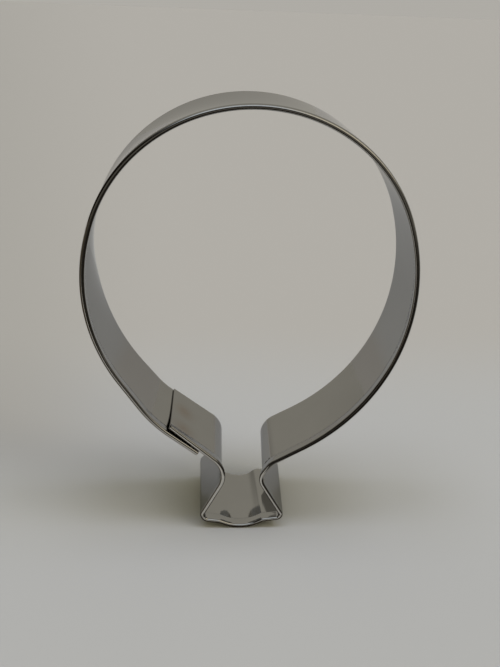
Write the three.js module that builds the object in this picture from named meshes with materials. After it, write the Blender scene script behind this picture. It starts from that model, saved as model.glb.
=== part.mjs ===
// Balloon cookie cutter: one strip of sheet steel, hemmed along its front edge, bent to the outline
// of a balloon and closed by two spot welds where its ends lap.
// Lengths are in millimetres and angles in degrees. X runs to the right, Y from the hemmed front edge
// to the cutting edge and Z up. The cutter stands on the foot of the balloon's knot, and the origin
// lies on the ground under the middle of the cutter.

import * as THREE from "three";

// The strip and the hem along its front edge
const stripWidth = 22; // front edge to cutting edge
const sheet = 0.35; // thickness of the steel
const foldRadius = 0.25; // inside the fold of the hem
const hemDepth = 3; // front edge to the free edge of the hem
const hemSlit = 0.06; // left open under the free edge of the hem

// The balloon, measured at the middle of the sheet
const crownRadius = 37.7;
const crownSpan = 170; // angle that the crown's arc covers
const crownLean = 9; // turn of the crown towards the lapped side
const lappedFlankRadius = 58; // left flank
const lappedFlankSlope = 38; // below level, where the left flank runs out straight
const plainFlankRadius = 51; // right flank
const plainFlankSlope = 30;

// The neck and the knot
const neckGap = 11.3; // between the middles of the two sheets at the waist
const neckHeight = 16.35; // waist above the ground
const neckRadius = 6.5;
const knotShift = -0.4; // middle of the knot to the right of the balloon's
const knotWidth = 22.4; // over the outer faces
const knotCornerRadius = 2.5;
const waveDepth = 2.4; // foot below the knot's corners
const waveSlope = 34; // steepest slope beside the foot
const waveRadius = 2.5;
const footLength = 4; // level stretch that the cutter stands on

// The lap on the left flank and its spot welds
const lapLength = 10.3;
const lapGap = 0.3; // between the two ends at the tip of the tail, the outer one
const lapSplay = 7.5; // turn of the inner end away from the tail
const lapRearGap = 0.1; // between the two sheets at the tip of the inner end, at the cutting edge
const tailStop = 5; // tip of the tail to the bend of the waist
const weldDiameter = 2.2;
const weldInset = 5.6; // front edge to the first weld
const weldPitch = 8.3;
const weldFit = 0.08; // clearance between a weld and each of its sheets

// Fineness of the round stretches
const facetAngle = 5; // on bends of the strip
const facetLength = 0.45; // shortest facet on tight bends
const foldFacets = 8; // on each face of the hem's fold
const twistFacets = 6; // along the twisted inner end
const weldFacets = 16;

const LEFT = 1;
const RIGHT = -1;
const noLength = 1e-6; // shorter runs are rounding between two arcs that touch

const { degToRad } = THREE.MathUtils;
const hemThickness = 2 * (sheet + foldRadius);

/** Unit vector of a heading, in the plane of the outline. */
function along(heading) {
  return new THREE.Vector2(Math.cos(heading), Math.sin(heading));
}

/** Unit vector square to a heading, on its left. */
function leftOf(heading) {
  return new THREE.Vector2(-Math.sin(heading), Math.cos(heading));
}

/** Point reached from a place by going some way along a direction. */
function offset(place, direction, distance) {
  return place.clone().addScaledVector(direction, distance);
}

/** A round stretch of the outline, which turns left or right about a centre. */
function bend(centre, radius, turn) {
  return { centre, radius, turn };
}

/** Point where the outline touches a bend while it runs along a heading. */
function touchPoint({ centre, radius, turn }, heading) {
  return offset(centre, leftOf(heading), -turn * radius);
}

/** Heading of the straight run from one bend to the next. */
function headingBetween(from, to) {
  const span = to.centre.clone().sub(from.centre);
  const lift = (from.turn * from.radius - to.turn * to.radius) / span.length();
  return span.angle() + Math.asin(lift);
}

// Headings of the strip, which runs from its inner end round the knot, up the right flank and over the
// crown to its tail
const headings = {
  innerEnd: -degToRad(lappedFlankSlope + lapSplay),
  plainFlank: degToRad(plainFlankSlope),
  intoCrown: degToRad(180 + crownLean - crownSpan / 2),
  outOfCrown: degToRad(180 + crownLean + crownSpan / 2),
  tail: degToRad(360 - lappedFlankSlope),
};

/** Arcs of the balloon, about a crown that is centred on a given point. */
function balloonBends(centre) {
  const flankCentre = (heading, radius) => offset(centre, leftOf(heading), radius - crownRadius);
  const flank = (heading, radius) => bend(flankCentre(heading, radius), radius, LEFT);
  return {
    right: flank(headings.intoCrown, plainFlankRadius),
    crown: bend(centre, crownRadius, LEFT),
    left: flank(headings.outOfCrown, lappedFlankRadius),
  };
}

/** Middle between the farthest points of the balloon, which lie where the strip runs upright. */
function middleBetweenSides({ right, crown, left }) {
  const rightmost = headings.intoCrown > degToRad(90) ? right : crown;
  const leftmost = headings.outOfCrown < degToRad(270) ? left : crown;
  return (rightmost.centre.x + rightmost.radius + leftmost.centre.x - leftmost.radius) / 2;
}

/** Height of a waist's bend, which touches the flank on its side and leaves half the gap of the neck. */
function waistHeight({ right, left }, side) {
  const lapShift = hemThickness + lapGap - tailStop * Math.sin(degToRad(lapSplay));
  const lapped = [left, headings.tail, lapShift];
  const plain = [right, headings.plainFlank, 0];
  const [flank, heading, shift] = side < 0 ? lapped : plain;
  const line = offset(touchPoint(flank, heading), leftOf(heading), shift - neckRadius);
  const across = knotShift + side * (neckGap / 2 + neckRadius);
  return line.y + (across - line.x) * Math.tan(heading);
}

/** Bends of one side of the knot, from the waist to the foot. */
function knotBends(balloon, side) {
  const slope = degToRad(waveSlope);
  const level = sheet / 2;
  const straightRise = waveDepth - 2 * waveRadius * (1 - Math.cos(slope));
  const waveReach = footLength / 2 + 2 * waveRadius * Math.sin(slope) + straightRise / Math.tan(slope);
  const cornerReach = (knotWidth - sheet) / 2 - knotCornerRadius;
  const at = (reach, height) => new THREE.Vector2(knotShift + side * reach, height);
  return [
    bend(at(neckGap / 2 + neckRadius, waistHeight(balloon, side)), neckRadius, RIGHT),
    bend(at(cornerReach, level + waveDepth + knotCornerRadius), knotCornerRadius, LEFT),
    bend(at(waveReach, level + waveDepth - waveRadius), waveRadius, RIGHT),
    bend(at(footLength / 2, level + waveRadius), waveRadius, LEFT),
  ];
}

// The balloon is centred between its sides, then raised until its waist has the right height.
const crownX = -middleBetweenSides(balloonBends(new THREE.Vector2()));
const draft = balloonBends(new THREE.Vector2(crownX, 0));
const draftWaist = (waistHeight(draft, -1) + waistHeight(draft, 1)) / 2;
const balloon = balloonBends(new THREE.Vector2(crownX, neckHeight - draftWaist));
const knot = [...knotBends(balloon, -1), ...knotBends(balloon, 1).reverse()];
const leftWaist = knot[0];

// The ends of the strip. The inner one runs into the waist, and the tail lies over it. The hems hold
// the two apart at the front, so the inner end is twisted until it meets the tail at the cutting edge.
const innerRun = tailStop + lapLength;
const innerTouch = touchPoint(leftWaist, headings.innerEnd);
const innerTip = offset(innerTouch, along(headings.innerEnd), -innerRun);
const tailTouch = touchPoint(balloon.left, headings.tail);
const tailRun = innerTouch.clone().sub(tailTouch).dot(along(headings.tail)) - tailStop;
const tailTip = offset(tailTouch, along(headings.tail), tailRun);
const tipLean = (fromTail(innerTip) - sheet - lapRearGap) / stripWidth;

/** Distance of a point from the middle of the tail's sheet, or of the flank before it, inwards. */
function fromTail(point) {
  const way = point.clone().sub(tailTouch);
  if (way.dot(along(headings.tail)) < 0) {
    return balloon.left.radius - point.distanceTo(balloon.left.centre);
  }
  return way.dot(leftOf(headings.tail));
}

/** Outward lean of the inner end for each millimetre behind the front edge, some way from its tip. */
function innerLean(fromTip) {
  return tipLean * (1 - fromTip / innerRun);
}

/** Outline of the cutter at the middle of the sheet, from the inner end to the tip of the tail. */
function outlinePath() {
  const bends = [...knot, balloon.right, balloon.crown, balloon.left];
  const knotRuns = knot.slice(1).map((next, i) => headingBetween(knot[i], next));
  const { innerEnd, plainFlank, intoCrown, outOfCrown, tail } = headings;
  const runs = [innerEnd, ...knotRuns, plainFlank, intoCrown, outOfCrown, tail];
  const path = new THREE.Path();
  path.moveTo(innerTip.x, innerTip.y);
  path.lineTo(innerTouch.x, innerTouch.y);
  bends.forEach(({ centre, radius, turn }, i) => {
    const quarter = (turn * Math.PI) / 2;
    path.absarc(centre.x, centre.y, radius, runs[i] - quarter, runs[i + 1] - quarter, turn === RIGHT);
  });
  path.lineTo(tailTip.x, tailTip.y);
  return path;
}

/** Number of even steps that a stretch of the outline is cut into. */
function stepsOn(curve) {
  if (!curve.isEllipseCurve) {
    return 1;
  }
  const length = curve.getLength();
  const byAngle = length / curve.xRadius / degToRad(facetAngle);
  return Math.ceil(Math.min(byAngle, length / facetLength));
}

/** Places along the strip, each with its point, its tangent and how far the sheet leans outwards. */
function stripStations() {
  const [innerEnd, ...others] = outlinePath().curves.filter((curve) => curve.getLength() > noLength);
  const stations = [];
  for (let i = 0; i <= twistFacets; i += 1) {
    const part = i / twistFacets;
    stations.push({
      point: innerEnd.getPoint(part),
      tangent: innerEnd.getTangent(part),
      lean: innerLean(part * innerRun),
    });
  }
  for (const curve of others) {
    const steps = stepsOn(curve);
    for (let i = 1; i <= steps; i += 1) {
      stations.push({ point: curve.getPoint(i / steps), tangent: curve.getTangent(i / steps), lean: 0 });
    }
  }
  return stations;
}

/** Section of the strip: X inwards from the middle of the sheet, Y from the front to the cutting edge. */
function stripSection() {
  const half = sheet / 2;
  const outerRadius = foldRadius + sheet;
  const foldMiddle = half + foldRadius;
  const section = new THREE.Shape();
  section.moveTo(-half, stripWidth);
  section.lineTo(-half, outerRadius);
  section.absarc(foldMiddle, outerRadius, outerRadius, Math.PI, 2 * Math.PI, false);
  section.lineTo(half + hemSlit + sheet, hemDepth);
  section.lineTo(half + hemSlit, hemDepth);
  section.absarc(foldMiddle, outerRadius, foldRadius, 2 * Math.PI, Math.PI, true);
  section.lineTo(half, stripWidth);
  const points = section.getPoints(foldFacets / 2);
  return points.filter((point, i) => i === 0 || point.distanceTo(points[i - 1]) > noLength);
}

/** Closed solid of a section that is carried along the stations. */
function sweep(section, stations) {
  const count = section.length;
  const positions = [];
  const index = [];
  for (const { point, tangent, lean } of stations) {
    for (const { x, y: depth } of section) {
      const inward = x - lean * depth;
      positions.push(point.x - inward * tangent.y, depth - stripWidth / 2, point.y + inward * tangent.x);
    }
  }
  for (let i = 0; i + 1 < stations.length; i += 1) {
    for (let j = 0; j < count; j += 1) {
      const here = i * count + j;
      const beside = i * count + ((j + 1) % count);
      index.push(here, here + count, beside + count, here, beside + count, beside);
    }
  }
  const last = (stations.length - 1) * count;
  for (const [a, b, c] of THREE.ShapeUtils.triangulateShape(section, [])) {
    index.push(a, b, c, last + c, last + b, last + a);
  }
  const geometry = new THREE.BufferGeometry();
  geometry.setAttribute("position", new THREE.Float32BufferAttribute(positions, 3));
  geometry.setIndex(index);
  geometry.computeVertexNormals();
  return geometry;
}

const polishedSteel = new THREE.MeshStandardMaterial({ color: 0xa8a6a0, roughness: 0.22, metalness: 1 });
const weldedSteel = new THREE.MeshStandardMaterial({ color: 0x8c8780, roughness: 0.45, metalness: 1 });

/** The bent strip, in one piece. */
function cutterBand() {
  const band = new THREE.Mesh(sweep(stripSection(), stripStations()), polishedSteel);
  band.name = "cutter_band";
  return band;
}

/** A weld that joins the two ends of the strip in the middle of their lap. */
function spotWeld(name, inset) {
  const lean = innerLean(lapLength / 2);
  const lapMiddle = offset(innerTip, along(headings.innerEnd), lapLength / 2);
  const inner = offset(lapMiddle, leftOf(headings.innerEnd), -lean * inset);
  const across = fromTail(inner);
  const middle = offset(inner, leftOf(headings.tail), -across / 2);
  const square = leftOf(headings.innerEnd).add(leftOf(headings.tail)).normalize();
  const axis = new THREE.Vector3(square.x, lean / 2, square.y).normalize();
  const height = across - sheet - 2 * weldFit;
  const geometry = new THREE.CylinderGeometry(weldDiameter / 2, weldDiameter / 2, height, weldFacets);
  const weld = new THREE.Mesh(geometry, weldedSteel);
  weld.name = name;
  weld.position.set(middle.x, inset - stripWidth / 2, middle.y);
  weld.quaternion.setFromUnitVectors(new THREE.Vector3(0, 1, 0), axis);
  return weld;
}

const cookieCutter = new THREE.Group();
cookieCutter.add(
  cutterBand(),
  spotWeld("spot_weld_front", weldInset),
  spotWeld("spot_weld_rear", weldInset + weldPitch),
);

export default cookieCutter;
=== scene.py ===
"""Looks of the balloon cookie cutter: a fine model of its bent steel strip, and a pale studio.

Lengths named here are in millimetres, as in the CAD model. Those in the materials and the size
of the floor are in metres, Blender's own unit.
"""

from math import asin, atan2, ceil, cos, exp, pi, radians, sin

import bpy
from mathutils import Matrix, Vector


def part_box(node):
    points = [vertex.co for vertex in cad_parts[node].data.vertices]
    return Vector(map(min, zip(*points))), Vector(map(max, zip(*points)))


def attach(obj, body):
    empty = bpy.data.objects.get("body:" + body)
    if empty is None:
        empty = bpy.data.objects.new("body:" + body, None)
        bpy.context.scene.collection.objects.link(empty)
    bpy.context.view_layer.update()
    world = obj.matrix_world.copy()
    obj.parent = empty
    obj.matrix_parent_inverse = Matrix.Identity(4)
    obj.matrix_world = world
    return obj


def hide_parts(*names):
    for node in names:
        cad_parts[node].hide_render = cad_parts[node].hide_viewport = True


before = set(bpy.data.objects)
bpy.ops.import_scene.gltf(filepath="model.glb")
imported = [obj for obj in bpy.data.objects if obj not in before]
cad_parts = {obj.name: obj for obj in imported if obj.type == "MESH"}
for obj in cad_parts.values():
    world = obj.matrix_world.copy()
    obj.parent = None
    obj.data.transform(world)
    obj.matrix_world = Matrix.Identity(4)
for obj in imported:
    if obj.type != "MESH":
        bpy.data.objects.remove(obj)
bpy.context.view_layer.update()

MM = 0.001
LEFT, RIGHT = 1, -1

# The strip and the hem along its front edge
STRIP_WIDTH = 22.0
SHEET = 0.35
FOLD_RADIUS = 0.25
FOLD_DEPTH = SHEET + FOLD_RADIUS
HEM_DEPTH = 3.0
HEM_SLIT = 0.06
HEM_THICKNESS = 2 * FOLD_DEPTH
FOLD_CORNERS = (0.6, 0.5)  # radius at the front of the hem, outside and inside
EDGE_ROUNDING = 0.05

# The foot of the knot, at the hem and at the cutting edge, with its centres set so that it
# stands on the ground
FOOT_RADII = (10.3, 5.925)
FOOT_HEIGHTS = [radius + SHEET / 2 for radius in FOOT_RADII]

# The strip runs straight from bend to bend, as a belt runs over pulleys, from its inner end
# to its tail. It isn't bent quite square, so each bend has a centre, across and up, and a
# radius for the middle of the sheet, first at the hem and then at the cutting edge.
BENDS = {
    "left waist": (RIGHT, (-12.5, 17.05, 6.5), (-13.0, 16.2, 7.25)),
    "left corner": (LEFT, (-9.05, 4.3, 2.2), (-9.95, 5.7, 1.6)),
    "left crest": (RIGHT, (-7.2, -0.8, 2.6), (-6.7, -1.95, 3.95)),
    "foot": (LEFT, (-0.8, FOOT_HEIGHTS[0], FOOT_RADII[0]), (-0.55, FOOT_HEIGHTS[1], FOOT_RADII[1])),
    "right crest": (RIGHT, (5.95, 0.6, 1.6), (5.3, 0.35, 2.25)),
    "right corner": (LEFT, (8.8, 4.33, 1.7), (9.7, 3.7, 1.3)),
    "right waist": (RIGHT, (8.5, 16.15, 3.65), (11.75, 15.75, 6.1)),
    "right shoulder": (RIGHT, (10.85, 16.9, 5.25), (12.1, 15.8, 6.4)),
    "right flank": (LEFT, (-11.25, 67.25, 49.15), (-11.45, 66.75, 49.45)),
    "crown": (LEFT, (-0.15, 71.7, 37.2), (-0.45, 70.8, 37.75)),
    "left flank": (LEFT, (6.6, 68.65, 44.55), (15.6, 71.4, 53.75)),
    "tail bend": (LEFT, (1.85, 55.55, 33.5), (-7.35, 45.85, 20.0)),
}

# The two ends that lap on the left flank, at the hem and at the cutting edge
INNER_SLOPES = (42.8, 38.1)
INNER_RUNS = (15.0, 13.3)
INNER_BOW = 5.0  # the higher, the closer the inner end keeps to the tail behind the hems
TAIL_SLOPES = (39.3, 39.0)
TAIL_RUNS = (9.0, 9.4)

# The spot welds in the lap, and the marks that they leave on both sheets
WELD_NODES = ("spot_weld_front", "spot_weld_rear")
WELD_RADIUS = 1.1
WELD_DENT = 0.04
HEAT_RADIUS = 2.6

# Wear: how deep it reaches from the cutting edge and from the rim, and how strong it is on the rim
EDGE_WEAR_DEPTH = 0.8
RIM_WEAR_DEPTH = 0.3
RIM_WEAR = 0.6

# Fineness of the meshes
STEP = 0.6  # longest step along the strip
TURN_STEP = radians(2.5)  # widest step round a bend
SHORTEST = SHEET / 10  # a shorter stretch, between two bends that nearly touch, is left out
WALL_STEPS = 40
HEM_STEPS = 6
CORNER_STEPS = 8
WELD_SIDES = 32
WELD_RIM_STEPS = 6
SHARP_ANGLE = radians(40)

# The lamps: three side by side overhead and one on the right, by the way to each from the cutter
OVERHEAD_TILTS = (-0.3, 0.1, 0.5)  # to the right, for each unit up
OVERHEAD_LEAN = -0.05  # to the back, for each unit up
OVERHEAD_STRENGTH = 0.5
OVERHEAD_SPREAD = radians(22)
OVERHEAD_COLOUR = (1.0, 1.075, 1.37)
RIGHT_DIRECTION = (1.0, -0.45, 1.0)
RIGHT_STRENGTH = 0.6
RIGHT_SPREAD = radians(30)
RIGHT_COLOUR = (1.0, 0.93, 0.78)

# The camera, as found from the photograph
IMAGE_WIDTH, IMAGE_HEIGHT = 500, 667
FOCAL_PIXELS = 680.0
PITCH = radians(26.7)
YAW = radians(-2.71)
ROLL = radians(2.0)
AIM = Vector((0.21, -11.0, 65.97))
AIM_PIXEL = (252.27, 303.83)
AIM_DEPTH = 153.1
SENSOR = 36.0
NEAREST_SEEN = 5.0


def along(heading):
    """Unit vector of a heading, in the plane of the outline."""
    return Vector((cos(heading), sin(heading)))


def left_of(heading):
    """Unit vector square to a heading, on its left, which is the cutter's inside."""
    return Vector((-sin(heading), cos(heading)))


def smooth(value, low, high):
    """0 below low, 1 above high, and an even S between."""
    part = min(max((value - low) / (high - low), 0.0), 1.0)
    return part * part * (3 - 2 * part)


class Bend:
    """A round stretch of the outline, which turns left or right about a centre."""

    def __init__(self, turn, centre, radius):
        self.turn, self.centre, self.radius = turn, Vector(centre), radius

    def touch(self, heading):
        """Point where the outline passes along a heading."""
        return self.centre - self.turn * self.radius * left_of(heading)


class Straight:
    """A straight stretch of the outline between two points."""

    def __init__(self, start, end, heading):
        self.start, self.end, self.heading = start, end, heading
        self.length = (end - start).length
        self.angle = 0.0

    def at(self, part):
        """Point and heading at a part of the way along."""
        return self.start.lerp(self.end, part), self.heading


class Arc:
    """The stretch of the outline that lies on a bend, from one heading to the next."""

    def __init__(self, bend, entry, leaving):
        self.bend, self.entry = bend, entry
        self.angle = (leaving - entry + pi) % (2 * pi) - pi
        self.length = abs(self.angle) * bend.radius

    def at(self, part):
        """Point and heading at a part of the way along."""
        heading = self.entry + self.angle * part
        return self.bend.touch(heading), heading


def heading_between(first, second):
    """Heading of the straight run from one bend to the next."""
    span = second.centre - first.centre
    lift = (first.turn * first.radius - second.turn * second.radius) / span.length
    return atan2(span.y, span.x) + asin(lift)


def edge_path(side):
    """Stretches of the hem (side 0) or the cutting edge (side 1), from the inner end to the tail."""
    bends = []
    for turn, *places in BENDS.values():
        across, up, radius = places[side]
        bends.append(Bend(turn, (across, up), radius))
    runs = [heading_between(a, b) for a, b in zip(bends, bends[1:])]
    inner, tail = radians(-INNER_SLOPES[side]), radians(-TAIL_SLOPES[side])
    headings = [inner, *runs, tail]

    here = bends[0].touch(inner) - INNER_RUNS[side] * along(inner)
    path = []
    for bend, entry, leaving in zip(bends, headings, headings[1:]):
        path.append(Straight(here, bend.touch(entry), entry))
        path.append(Arc(bend, entry, leaving))
        here = bend.touch(leaving)
    path.append(Straight(here, here + TAIL_RUNS[side] * along(tail), tail))
    return path


class Station:
    """A place along the strip, with its hem, its cutting edge and its distance from the inner end."""

    def __init__(self, hem, edge, length):
        self.hem, hem_heading = hem
        self.edge, edge_heading = edge
        self.hem_inward = left_of(hem_heading)
        self.edge_inward = left_of(edge_heading)
        self.length = length
        self.bow = 1 + (INNER_BOW - 1) * smooth(INNER_RUNS[0] - length, 0, INNER_RUNS[0])

    def place(self, inward, depth):
        """Point in the CAD frame, so far inward of the sheet's middle and so deep behind the rim."""
        flat = self.hem.lerp(self.edge, self.share(depth)) + inward * self.inward(depth)
        return Vector((flat.x, depth - STRIP_WIDTH / 2, flat.y))

    def inward(self, depth):
        """Unit vector to the cutter's inside, square to the sheet, in the plane of the outline."""
        return self.hem_inward.lerp(self.edge_inward, self.share(depth)).normalized()

    def share(self, depth):
        """How far the sheet has gone over from the hem's line to the cutting edge's at a depth."""
        return 1 - (1 - depth / STRIP_WIDTH) ** self.bow


def strip_stations():
    """Stations along the whole strip, close together round tight bends."""
    found = []
    start = 0.0
    for hem, edge in zip(edge_path(0), edge_path(1)):
        length = max(hem.length, edge.length)
        angle = max(abs(hem.angle), abs(edge.angle))
        if length < SHORTEST:
            continue
        steps = ceil(max(length / STEP, angle / TURN_STEP))
        for i in range(steps):
            part = i / steps
            found.append(Station(hem.at(part), edge.at(part), start + part * hem.length))
        start += hem.length
    found.append(Station(hem.at(1), edge.at(1), start))
    return found


def fold_faces():
    """Outer face of the hem's fold, which is pressed flatter in front, and its round inner face."""
    half = SHEET / 2
    outside, inside = FOLD_CORNERS
    corners = (
        (outside - half, outside, pi),
        (HEM_THICKNESS - inside - half, inside, 1.5 * pi),
    )
    outer = []
    for middle, radius, start in corners:
        for i in range(CORNER_STEPS + 1):
            heading = start + pi / 2 * i / CORNER_STEPS
            outer.append(Vector((middle, radius)) + radius * along(heading))
    centre = Vector((half + FOLD_RADIUS, FOLD_DEPTH))
    last = len(outer) - 1
    inner = [centre + FOLD_RADIUS * along(pi + pi * i / last) for i in range(last + 1)]
    return outer, inner


def round_off(outer, inner):
    """Take the corners off both ends of the section."""
    bevel = Vector((0, EDGE_ROUNDING))
    for side in (outer, inner):
        side.insert(0, side[0].copy())
        side[1] -= bevel
        side.append(side[-1].copy())
        side[-2] -= bevel
    for at in (0, -1):
        inset = EDGE_ROUNDING * (outer[at] - inner[at]).normalized()
        outer[at] = outer[at] - inset
        inner[at] = inner[at] + inset


def strip_section():
    """Outer and inner face of the strip, from the cutting edge to the hem's free edge.

    Each point says how far inward of the middle of the sheet and how deep behind the rim it lies.
    """
    half = Vector((SHEET / 2, 0))
    outer, inner = [], []
    for i in range(WALL_STEPS):
        wall = Vector((0, STRIP_WIDTH + (FOLD_DEPTH - STRIP_WIDTH) * i / WALL_STEPS))
        outer.append(wall - half)
        inner.append(wall + half)
    fold_outer, fold_inner = fold_faces()
    outer += fold_outer
    inner += fold_inner
    fold_end, free_end = HEM_THICKNESS - SHEET, SHEET + HEM_SLIT
    for i in range(1, HEM_STEPS + 1):
        part = i / HEM_STEPS
        sink = (part + smooth(part, 0, 1)) / 2
        inward = fold_end + (free_end - fold_end) * sink
        flange = Vector((inward, FOLD_DEPTH + (HEM_DEPTH - FOLD_DEPTH) * part))
        outer.append(flange + half)
        inner.append(flange - half)
    round_off(outer, inner)
    return outer, inner


def weld_centres():
    """Middles of the CAD model's spot welds, in millimetres."""
    boxes = [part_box(name) for name in WELD_NODES]
    return [(low + high) / 2 / MM for low, high in boxes]


def in_space(flat):
    """A vector of the outline's plane in the CAD frame."""
    return Vector((flat.x, 0, flat.y))


def weld_distance(point, square, centres):
    """Distance of a point from the nearest spot weld's axis, which is square to the sheet."""
    ways = [point - centre for centre in centres]
    return min((way - way.dot(square) * square).length for way in ways)


def strip_points(stations, ring):
    """Every point of the strip, station by station, and how much the nearest weld has heated it."""
    centres = weld_centres()
    last = stations[-1].length
    points, heats = [], []
    for station in stations:
        in_lap = min(station.length, last - station.length) < max(INNER_RUNS)
        # The inner end is pressed outward and the tail inward.
        press = -1 if station.length < last / 2 else 1
        for across in ring:
            point = station.place(across.x, across.y)
            heat = 0.0
            if in_lap:
                square = in_space(station.inward(across.y))
                away = weld_distance(point, square, centres)
                heat = exp(-(away / HEAT_RADIUS) ** 2)
                point += press * WELD_DENT * exp(-(away / WELD_RADIUS) ** 4) * square
            points.append(point * MM)
            heats.append(heat)
    return points, heats


def strip_faces(stations, ring):
    """Quads round every step of the strip, and rows of quads that close its two ends."""
    count = len(ring)
    faces = []
    for i in range(len(stations) - 1):
        for j in range(count):
            k = (j + 1) % count
            faces.append((i * count + j, i * count + k, (i + 1) * count + k, (i + 1) * count + j))
    last = (len(stations) - 1) * count
    for j in range(count // 2 - 1):
        a, b, c, d = j, j + 1, count - 2 - j, count - 1 - j
        faces.append((d, c, b, a))
        faces.append((last + a, last + b, last + c, last + d))
    return faces


def edge_wear(across):
    """How much use has rubbed a point of the section: most at the cutting edge, less on the rim."""
    at_edge = smooth(across.y, STRIP_WIDTH - EDGE_WEAR_DEPTH, STRIP_WIDTH)
    at_rim = RIM_WEAR * smooth(-across.y, -RIM_WEAR_DEPTH, 0)
    return max(at_edge, at_rim)


def smooth_object(name, points, faces):
    """A new object in the scene, with smooth faces between its sharp edges."""
    mesh = bpy.data.meshes.new(name)
    mesh.from_pydata(points, [], faces)
    mesh.shade_smooth()
    mesh.set_sharp_from_angle(angle=SHARP_ANGLE)
    made = bpy.data.objects.new(name, mesh)
    bpy.context.scene.collection.objects.link(made)
    return made


def unroll(mesh, stations, ring):
    """Lay the strip's surface out flat, with U along the strip and V across it, in metres."""
    lengths = [0.0]
    for a, b in zip(ring, ring[1:]):
        lengths.append(lengths[-1] + (b - a).length)
    layer = mesh.uv_layers.new(name="strip")
    for loop in mesh.loops:
        i, j = divmod(loop.vertex_index, len(ring))
        layer.data[loop.index].uv = (stations[i].length * MM, lengths[j] * MM)


def keep_values(mesh, name, values):
    """Keep a value on each point of a mesh, for its material to read."""
    mesh.attributes.new(name, "FLOAT", "POINT").data.foreach_set("value", values)


def make_strip():
    """The whole strip as one closed mesh."""
    outer, inner = strip_section()
    ring = outer + inner[::-1]
    stations = strip_stations()
    points, heats = strip_points(stations, ring)
    strip = smooth_object("cutter_strip", points, strip_faces(stations, ring))
    unroll(strip.data, stations, ring)
    keep_values(strip.data, "weld_heat", heats)
    keep_values(strip.data, "wear", [edge_wear(across) for across in ring] * len(stations))
    return strip


def nearest(stations, depth, inward, point):
    """Station whose face, so far inward of the sheet's middle, comes nearest to a point at a depth."""
    return min(stations, key=lambda station: (station.place(inward, depth) - point).length)


def weld_seat(centre):
    """Where a spot weld stands on the tail, the way from there to the inner end, and how far it is."""
    depth = centre.y + STRIP_WIDTH / 2
    stations = strip_stations()
    half = len(stations) // 2
    tail = nearest(stations[half:], depth, SHEET / 2, centre)
    inner = nearest(stations[:half], depth, -SHEET / 2, centre)
    bottom = tail.place(SHEET / 2, depth)
    axis = in_space(tail.inward(depth))
    gap = (inner.place(-SHEET / 2, depth) - bottom).dot(axis)
    return bottom, axis, gap


def weld_points(bottom, axis, gap):
    """Rings of points, from the tail to the inner end, round a pad whose rim bulges."""
    side = Vector((0, 1, 0))
    around = axis.cross(side)
    points = []
    for i in range(WELD_RIM_STEPS + 1):
        angle = pi * i / WELD_RIM_STEPS
        radius = WELD_RADIUS - gap / 2 * (1 - sin(angle))
        lift = gap / 2 * (1 - cos(angle))
        for j in range(WELD_SIDES):
            turn = 2 * pi * j / WELD_SIDES
            spoke = cos(turn) * side + sin(turn) * around
            points.append((bottom + radius * spoke + lift * axis) * MM)
    return points


def weld_faces():
    """Quads between the rings of a weld's points, and a face that closes each end."""
    ring = range(WELD_SIDES)
    faces = [tuple(reversed(ring))]
    for i in range(WELD_RIM_STEPS):
        low, high = i * WELD_SIDES, (i + 1) * WELD_SIDES
        for j in ring:
            k = (j + 1) % WELD_SIDES
            faces.append((low + j, low + k, high + k, high + j))
    faces.append(tuple(WELD_RIM_STEPS * WELD_SIDES + j for j in ring))
    return faces


def make_weld(name, centre):
    """The metal of a spot weld between the tail and the inner end."""
    return smooth_object(name, weld_points(*weld_seat(centre)), weld_faces())


class Nodes:
    """Short calls for building a node tree."""

    def __init__(self, tree):
        self.tree = tree
        tree.nodes.clear()

    def add(self, kind, inputs=None, **settings):
        """A new node with its properties set, and its inputs given values or linked to outputs."""
        node = self.tree.nodes.new(kind)
        for name, value in settings.items():
            setattr(node, name, value)
        for name, value in (inputs or {}).items():
            self.feed(node.inputs[name], value)
        return node

    def feed(self, socket, value):
        """Give an input a value, or link an output to it."""
        if isinstance(value, bpy.types.NodeSocket):
            self.tree.links.new(value, socket)
        else:
            socket.default_value = value

    def ramp(self, value, low, high, to_low=0.0, to_high=1.0):
        """A value eased from one range to another."""
        node = self.add("ShaderNodeMapRange", {
            "Value": value,
            "From Min": low,
            "From Max": high,
            "To Min": to_low,
            "To Max": to_high,
        }, interpolation_type="SMOOTHSTEP")
        return node.outputs["Result"]

    def mix(self, part, first, second):
        """A colour between two others."""
        node = self.add("ShaderNodeMix", data_type="RGBA")
        for name, value in (("Factor_Float", part), ("A_Color", first), ("B_Color", second)):
            socket = next(s for s in node.inputs if s.identifier == name)
            self.feed(socket, (*value, 1) if isinstance(value, tuple) else value)
        return next(s for s in node.outputs if s.identifier == "Result_Color")

    def maths(self, operation, first, second):
        """One step of arithmetic on two values."""
        node = self.add("ShaderNodeMath", {0: first, 1: second}, operation=operation)
        return node.outputs["Value"]

    def both(self, first, second):
        """Two parts multiplied."""
        return self.maths("MULTIPLY", first, second)

    def either(self, first, second):
        """The larger of two parts."""
        return self.maths("MAXIMUM", first, second)

    def noise(self, place, scale, detail, roughness=0.5):
        """Cloudy noise, from 0 to 1."""
        inputs = {"Vector": place, "Scale": scale, "Detail": detail, "Roughness": roughness}
        return self.add("ShaderNodeTexNoise", inputs).outputs["Fac"]

    def stretched(self, vector, scale):
        """A vector with each of its axes scaled."""
        return self.add("ShaderNodeMapping", {"Vector": vector, "Scale": scale}).outputs["Vector"]

    def axes(self, vector):
        """The three parts of a vector."""
        node = self.add("ShaderNodeSeparateXYZ", {"Vector": vector})
        return node.outputs["X"], node.outputs["Y"], node.outputs["Z"]

    def attribute(self, name):
        """A value kept on the mesh's points."""
        return self.add("ShaderNodeAttribute", attribute_name=name).outputs["Fac"]


def new_material(name):
    """An empty material and its nodes."""
    material = bpy.data.materials.new(name)
    material.use_nodes = True
    return material, Nodes(material.node_tree)


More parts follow.
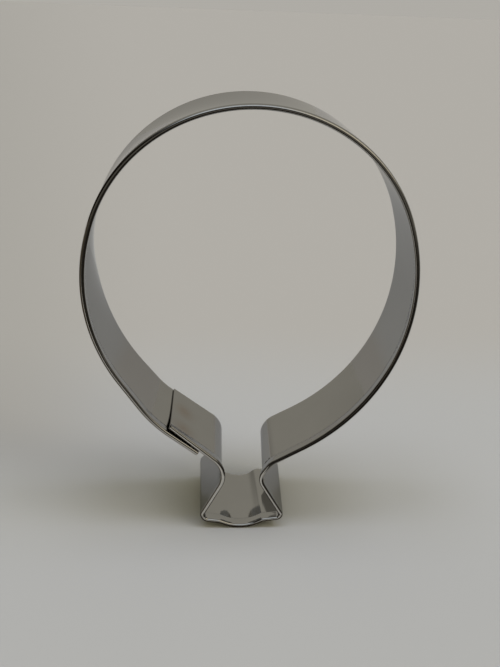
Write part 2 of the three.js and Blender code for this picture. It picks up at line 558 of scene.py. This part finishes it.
def steel_material():
    """Bright rolled steel: lines along the strip, cloudy wipe marks, rubbed edges, heat at the welds."""
    dark, pale = (0.365, 0.360, 0.345), (0.415, 0.410, 0.395)
    straw, rubbed = (0.32, 0.26, 0.21), (0.46, 0.45, 0.43)
    line_scale, buckle_scale = (40.0, 5000.0, 1.0), (60.0, 40.0, 1.0)  # along and across the strip
    line_height = 0.06  # beside the buckles' height
    wear_roughness = 0.12
    material, n = new_material("bright_steel")
    strip_place = n.add("ShaderNodeUVMap", uv_map="strip").outputs["UV"]
    place = n.add("ShaderNodeTexCoord").outputs["Object"]
    clouds = n.noise(place, scale=70.0, detail=4.0, roughness=0.55)
    lines = n.noise(n.stretched(strip_place, line_scale), scale=1.0, detail=3.0, roughness=0.6)
    buckles = n.noise(n.stretched(strip_place, buckle_scale), scale=1.0, detail=1.0)
    specks = n.noise(place, scale=2500.0, detail=2.0)

    wear = n.both(n.attribute("wear"), n.ramp(specks, 0.35, 0.6))
    heat = n.both(n.attribute("weld_heat"), n.ramp(specks, 0.3, 0.7, to_low=0.4, to_high=0.7))
    colour = n.mix(clouds, dark, pale)
    colour = n.mix(heat, colour, straw)
    colour = n.mix(wear, colour, rubbed)
    roughness = n.ramp(clouds, 0.3, 0.7, to_low=0.03, to_high=0.08)
    roughness = n.maths("ADD", roughness, n.maths("MULTIPLY", wear, wear_roughness))

    height = n.maths("ADD", n.maths("MULTIPLY", lines, line_height), buckles)
    bump = n.add("ShaderNodeBump", {"Height": height, "Strength": 0.25, "Distance": 0.06 * MM})
    steel = n.add("ShaderNodeBsdfPrincipled", {
        "Base Color": colour,
        "Metallic": 1.0,
        "Specular Tint": (0.68, 0.68, 0.69, 1),
        "Roughness": roughness,
        "Normal": bump.outputs["Normal"],
    })
    n.add("ShaderNodeOutputMaterial", {"Surface": steel.outputs["BSDF"]})
    return material


def weld_material():
    """Bare weld metal: dull, uneven and a little straw-coloured from the heat."""
    dark, pale = (0.28, 0.25, 0.21), (0.40, 0.37, 0.33)
    material, n = new_material("weld_metal")
    place = n.add("ShaderNodeTexCoord").outputs["Object"]
    grain = n.noise(place, scale=1500.0, detail=3.0)
    metal = n.add("ShaderNodeBsdfPrincipled", {
        "Base Color": n.mix(grain, dark, pale),
        "Metallic": 1.0,
        "Roughness": n.ramp(grain, 0.3, 0.7, to_low=0.35, to_high=0.6),
    })
    n.add("ShaderNodeOutputMaterial", {"Surface": metal.outputs["BSDF"]})
    return material


def board_colour(n, away, reflected):
    """The board's own colour: neutral in front and warmer behind, in reflections only far behind."""
    neutral, warm = (0.437, 0.437, 0.424), (0.43, 0.414, 0.384)
    behind = n.both(n.ramp(away, 0.04, 0.12), n.maths("SUBTRACT", 1.0, reflected))
    far_behind = n.ramp(away, 0.2, 0.32)
    return n.mix(n.either(behind, far_behind), neutral, warm)


def board_with_painted_falloff(n, across, away, colour):
    """Board to the eye, a little darker in a fan of painted shade opening left, behind the cutter."""
    # Colour of the painted shade where the light falls off, and where its fan starts
    painted_falloff_colour = (0.385, 0.372, 0.342)
    fan_start = 0.16
    fan = n.maths("DIVIDE", across, n.maths("ADD", away, fan_start))
    in_painted_falloff = n.both(n.ramp(fan, -0.08, -0.4), n.ramp(away, 0.0, 0.04))
    return n.mix(in_painted_falloff, colour, painted_falloff_colour)


def painted_reflections_on_board(n, across, away, colour):
    """Painted light and shade on the board, which only the steel's reflections show.

    In front a bright slanting lane is painted, dim on its left and far to the left, and dark on
    its right. A painted dark line close in front of the rim stands for the shadow under the foot.
    """
    # Colours of the painted reflections: a lit lane, dim ground, the painted foot shadow, and dark
    # ground
    bright, dim, shadow = (0.66, 0.645, 0.60), (0.08, 0.062, 0.04), (0.04, 0.03, 0.02)
    dark, far_dark = (0.012, 0.009, 0.006), (0.13, 0.12, 0.10)
    lane_slant = 0.73
    in_front = n.ramp(away, 0.0, -0.012)
    slant = n.maths("SUBTRACT", across, n.maths("MULTIPLY", away, lane_slant))
    left_of_lane = n.both(in_front, n.ramp(slant, -0.004, -0.013))
    right_of_lane = n.both(in_front, n.ramp(slant, 0.029, 0.036))
    far_left = n.both(n.ramp(across, -0.07, -0.15), n.ramp(away, 0.12, 0.05))
    # Painted contact shadow, a line just in front of the rim
    painted_foot_shadow = n.both(n.ramp(away, -0.009, -0.011), n.ramp(away, -0.017, -0.013))

    # Painted light in front, painted dim ground on the left, painted dark ground on the right
    painted_reflection = n.mix(in_front, colour, bright)
    painted_reflection = n.mix(n.either(left_of_lane, far_left), painted_reflection, dim)
    painted_reflection = n.mix(right_of_lane, painted_reflection, n.mix(n.ramp(away, -0.12, -0.5), dark, far_dark))
    return n.mix(painted_foot_shadow, painted_reflection, shadow)


def floor_material():
    """Matt pale board, with painted shade to the eye, and painted light and shade in its reflections in
    the steel.
    """
    material, n = new_material("table_top")
    place = n.add("ShaderNodeTexCoord").outputs["Object"]
    across, away, _ = n.axes(place)
    reflected = n.add("ShaderNodeLightPath").outputs["Is Glossy Ray"]
    colour = board_colour(n, away, reflected)
    seen = board_with_painted_falloff(n, across, away, colour)
    # Painted light and shade that only the steel's reflections show
    painted_reflections = painted_reflections_on_board(n, across, away, colour)
    board = n.add("ShaderNodeBsdfPrincipled", {
        "Base Color": n.mix(reflected, seen, painted_reflections),
        "Roughness": 0.7,
        "Specular IOR Level": 0.1,
    })
    n.add("ShaderNodeOutputMaterial", {"Surface": board.outputs["BSDF"]})
    return material


def make_floor():
    """A wide pale table top."""
    reach = 6.0  # metres
    mesh = bpy.data.meshes.new("floor")
    corners = [(-reach, -reach, 0), (reach, -reach, 0), (reach, reach, 0), (-reach, reach, 0)]
    mesh.from_pydata(corners, [], [(0, 1, 2, 3)])
    mesh.materials.append(floor_material())
    floor = bpy.data.objects.new("floor", mesh)
    bpy.context.scene.collection.objects.link(floor)
    return floor


def room_colour(n):
    """The room in the steel: pale walls, dark in front and on the left, and in front a high window.

    The window's light is cool, and on the right, where its sill is lower, warm.
    """
    wall, dark = (0.44, 0.422, 0.372), (0.014, 0.011, 0.008)
    cool, warm = (0.85, 0.9, 0.95), (0.95, 0.86, 0.68)
    sill_drop = 0.22
    across, away, up = n.axes(n.add("ShaderNodeTexCoord").outputs["Generated"])
    in_front = n.ramp(away, 0.1, -0.4)
    on_left = n.ramp(across, -0.45, -0.9)
    on_right = n.ramp(across, 0.1, 0.5)
    above_sill = n.ramp(n.maths("ADD", up, n.maths("MULTIPLY", on_right, sill_drop)), 0.32, 0.52)
    window = n.both(above_sill, n.ramp(away, -0.15, -0.4))
    window = n.both(window, n.ramp(across, -0.55, -0.3))
    room = n.mix(n.either(in_front, on_left), wall, dark)
    return n.mix(window, room, n.mix(on_right, cool, warm))


def make_world():
    """Warm fill light, a pale background, and the room for reflections."""
    background = (0.425, 0.41, 0.378)
    world = bpy.data.worlds.new("studio")
    bpy.context.scene.world = world
    world.use_nodes = True
    n = Nodes(world.node_tree)
    path = n.add("ShaderNodeLightPath")
    to_camera = path.outputs["Is Camera Ray"]
    sharp = n.either(to_camera, path.outputs["Is Glossy Ray"])
    sharp = n.either(sharp, path.outputs["Is Transmission Ray"])
    seen = n.mix(to_camera, room_colour(n), background)
    view = n.add("ShaderNodeBackground", {"Color": seen, "Strength": 1.0})
    fill = n.add("ShaderNodeBackground", {"Color": (1.0, 0.93, 0.64, 1), "Strength": 0.44})
    light = n.add("ShaderNodeMixShader", {0: sharp, 1: fill.outputs[0], 2: view.outputs[0]})
    n.add("ShaderNodeOutputWorld", {"Surface": light.outputs[0]})


def add_sun(name, towards, strength, spread, colour):
    """Even soft light from a direction, kept out of reflections, where the room stands for it."""
    lamp = bpy.data.lights.new(name, "SUN")
    lamp.energy = strength
    lamp.angle = spread
    lamp.color = colour
    light = bpy.data.objects.new(name, lamp)
    light.rotation_euler = Vector(towards).to_track_quat("Z", "Y").to_euler()
    light.visible_glossy = False
    bpy.context.scene.collection.objects.link(light)


def add_lamps():
    """Three lamps side by side overhead, and one on the right."""
    for i, tilt in enumerate(OVERHEAD_TILTS):
        towards = (tilt, OVERHEAD_LEAN, 1.0)
        add_sun(f"overhead_{i + 1}", towards, OVERHEAD_STRENGTH, OVERHEAD_SPREAD, OVERHEAD_COLOUR)
    add_sun("right", RIGHT_DIRECTION, RIGHT_STRENGTH, RIGHT_SPREAD, RIGHT_COLOUR)


def make_camera():
    """The camera at the photograph's place, aim and angle of view."""
    # Right, down and forward for a camera that looks straight at the front
    swap = Matrix(((1, 0, 0), (0, 0, -1), (0, 1, 0)))
    roll = Matrix.Rotation(ROLL, 3, "Y")
    yaw = Matrix.Rotation(YAW, 3, "Y")
    pitch = Matrix.Rotation(PITCH, 3, "X")
    axes = pitch @ yaw @ swap @ roll
    right, down, forward = axes
    aim_x = AIM_PIXEL[0] - IMAGE_WIDTH / 2
    aim_y = AIM_PIXEL[1] - IMAGE_HEIGHT / 2
    sight = Vector((aim_x, aim_y, FOCAL_PIXELS)) * AIM_DEPTH / FOCAL_PIXELS
    place = AIM - axes.transposed() @ sight
    data = bpy.data.cameras.new("camera")
    data.sensor_width = SENSOR
    data.lens = SENSOR * FOCAL_PIXELS / max(IMAGE_WIDTH, IMAGE_HEIGHT)
    data.clip_start = NEAREST_SEEN * MM
    camera = bpy.data.objects.new("camera", data)
    turn = Matrix((right, -down, -forward)).transposed()
    camera.matrix_world = Matrix.Translation(place * MM) @ turn.to_4x4()
    bpy.context.scene.collection.objects.link(camera)
    bpy.context.scene.camera = camera


strip = make_strip()
strip.data.materials.append(steel_material())
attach(strip, "root")
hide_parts("cutter_band")

weld_metal = weld_material()
for node, centre in zip(WELD_NODES, weld_centres()):
    weld = make_weld(node + "_pad", centre)
    weld.data.materials.append(weld_metal)
    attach(weld, "root")
    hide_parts(node)

make_floor()
make_world()
add_lamps()
make_camera()

bpy.context.scene.view_settings.view_transform = "Standard"
